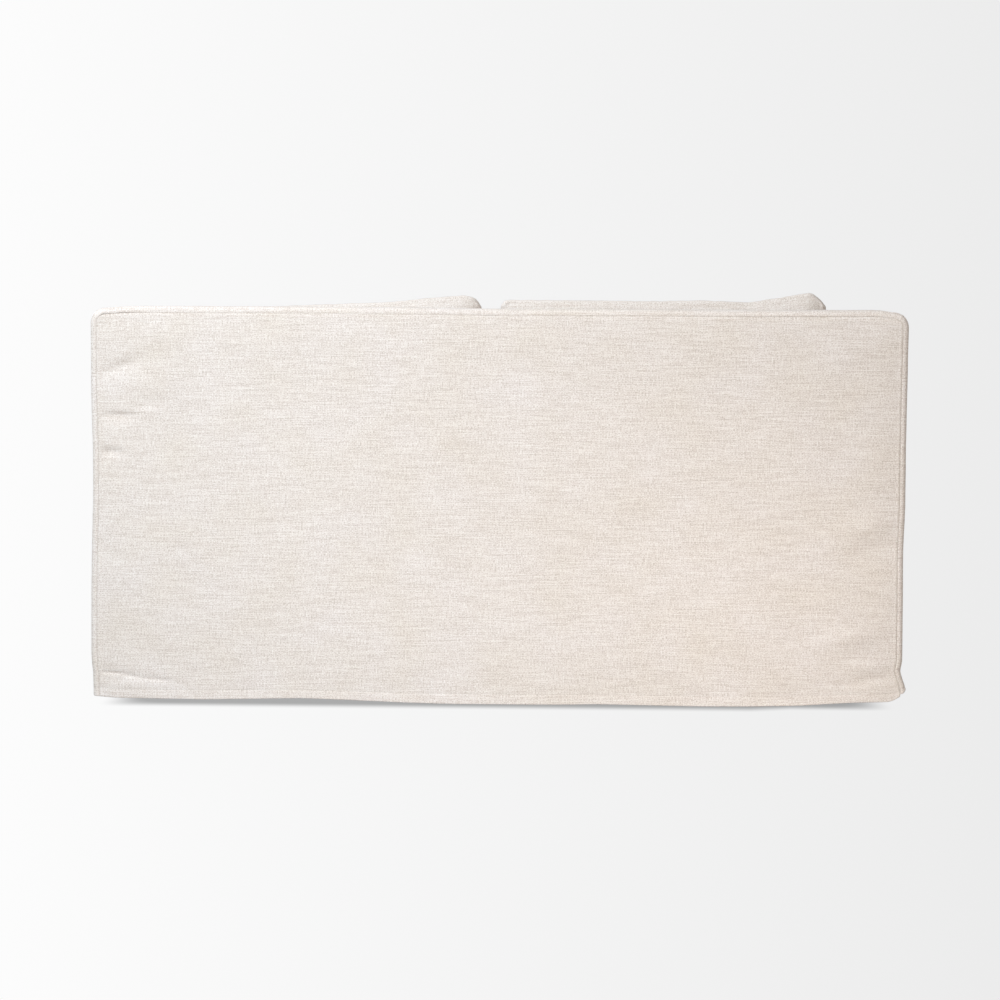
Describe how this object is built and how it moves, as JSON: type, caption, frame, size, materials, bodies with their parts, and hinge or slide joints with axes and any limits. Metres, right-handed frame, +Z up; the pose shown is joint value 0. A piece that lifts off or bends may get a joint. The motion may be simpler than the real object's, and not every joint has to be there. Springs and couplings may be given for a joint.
{
  "type": "sofa slipcover",
  "caption": "Fitted, loose-skirted cloth cover for a two-seat sofa, sewn from panels and boxing strips, hollow and open below, with its covered loose seat and back cushions.",
  "frame": {"origin": "under the middle of the cover's top, where the top of the sofa's back carries it", "axes": "+X to the right as seen from behind, +Y towards the front of the seat, +Z up"},
  "size_m": [1.8083, 0.9558, 0.9108],
  "materials": {
    "cover_cloth": "cream slub weave with a linen look, unglazed",
    "cushion_cloth": "the same cream slub weave, drawn smooth over a soft filling"
  },
  "bodies": {
    "root": {"outside_back": "cover_cloth", "back_top_band": "cover_cloth", "back_side_band_left": "cover_cloth", "back_side_band_right": "cover_cloth", "inside_back": "cover_cloth", "outside_arm_left": "cover_cloth", "outside_arm_right": "cover_cloth", "arm_top_left": "cover_cloth", "arm_top_right": "cover_cloth", "arm_front_left": "cover_cloth", "arm_front_right": "cover_cloth", "inside_arm_left": "cover_cloth", "inside_arm_right": "cover_cloth", "seat_deck": "cover_cloth", "front_apron": "cover_cloth", "seat_cushion_left": "cushion_cloth", "seat_cushion_right": "cushion_cloth", "back_cushion_left": "cushion_cloth", "back_cushion_right": "cushion_cloth"}
  },
  "joints": []
}
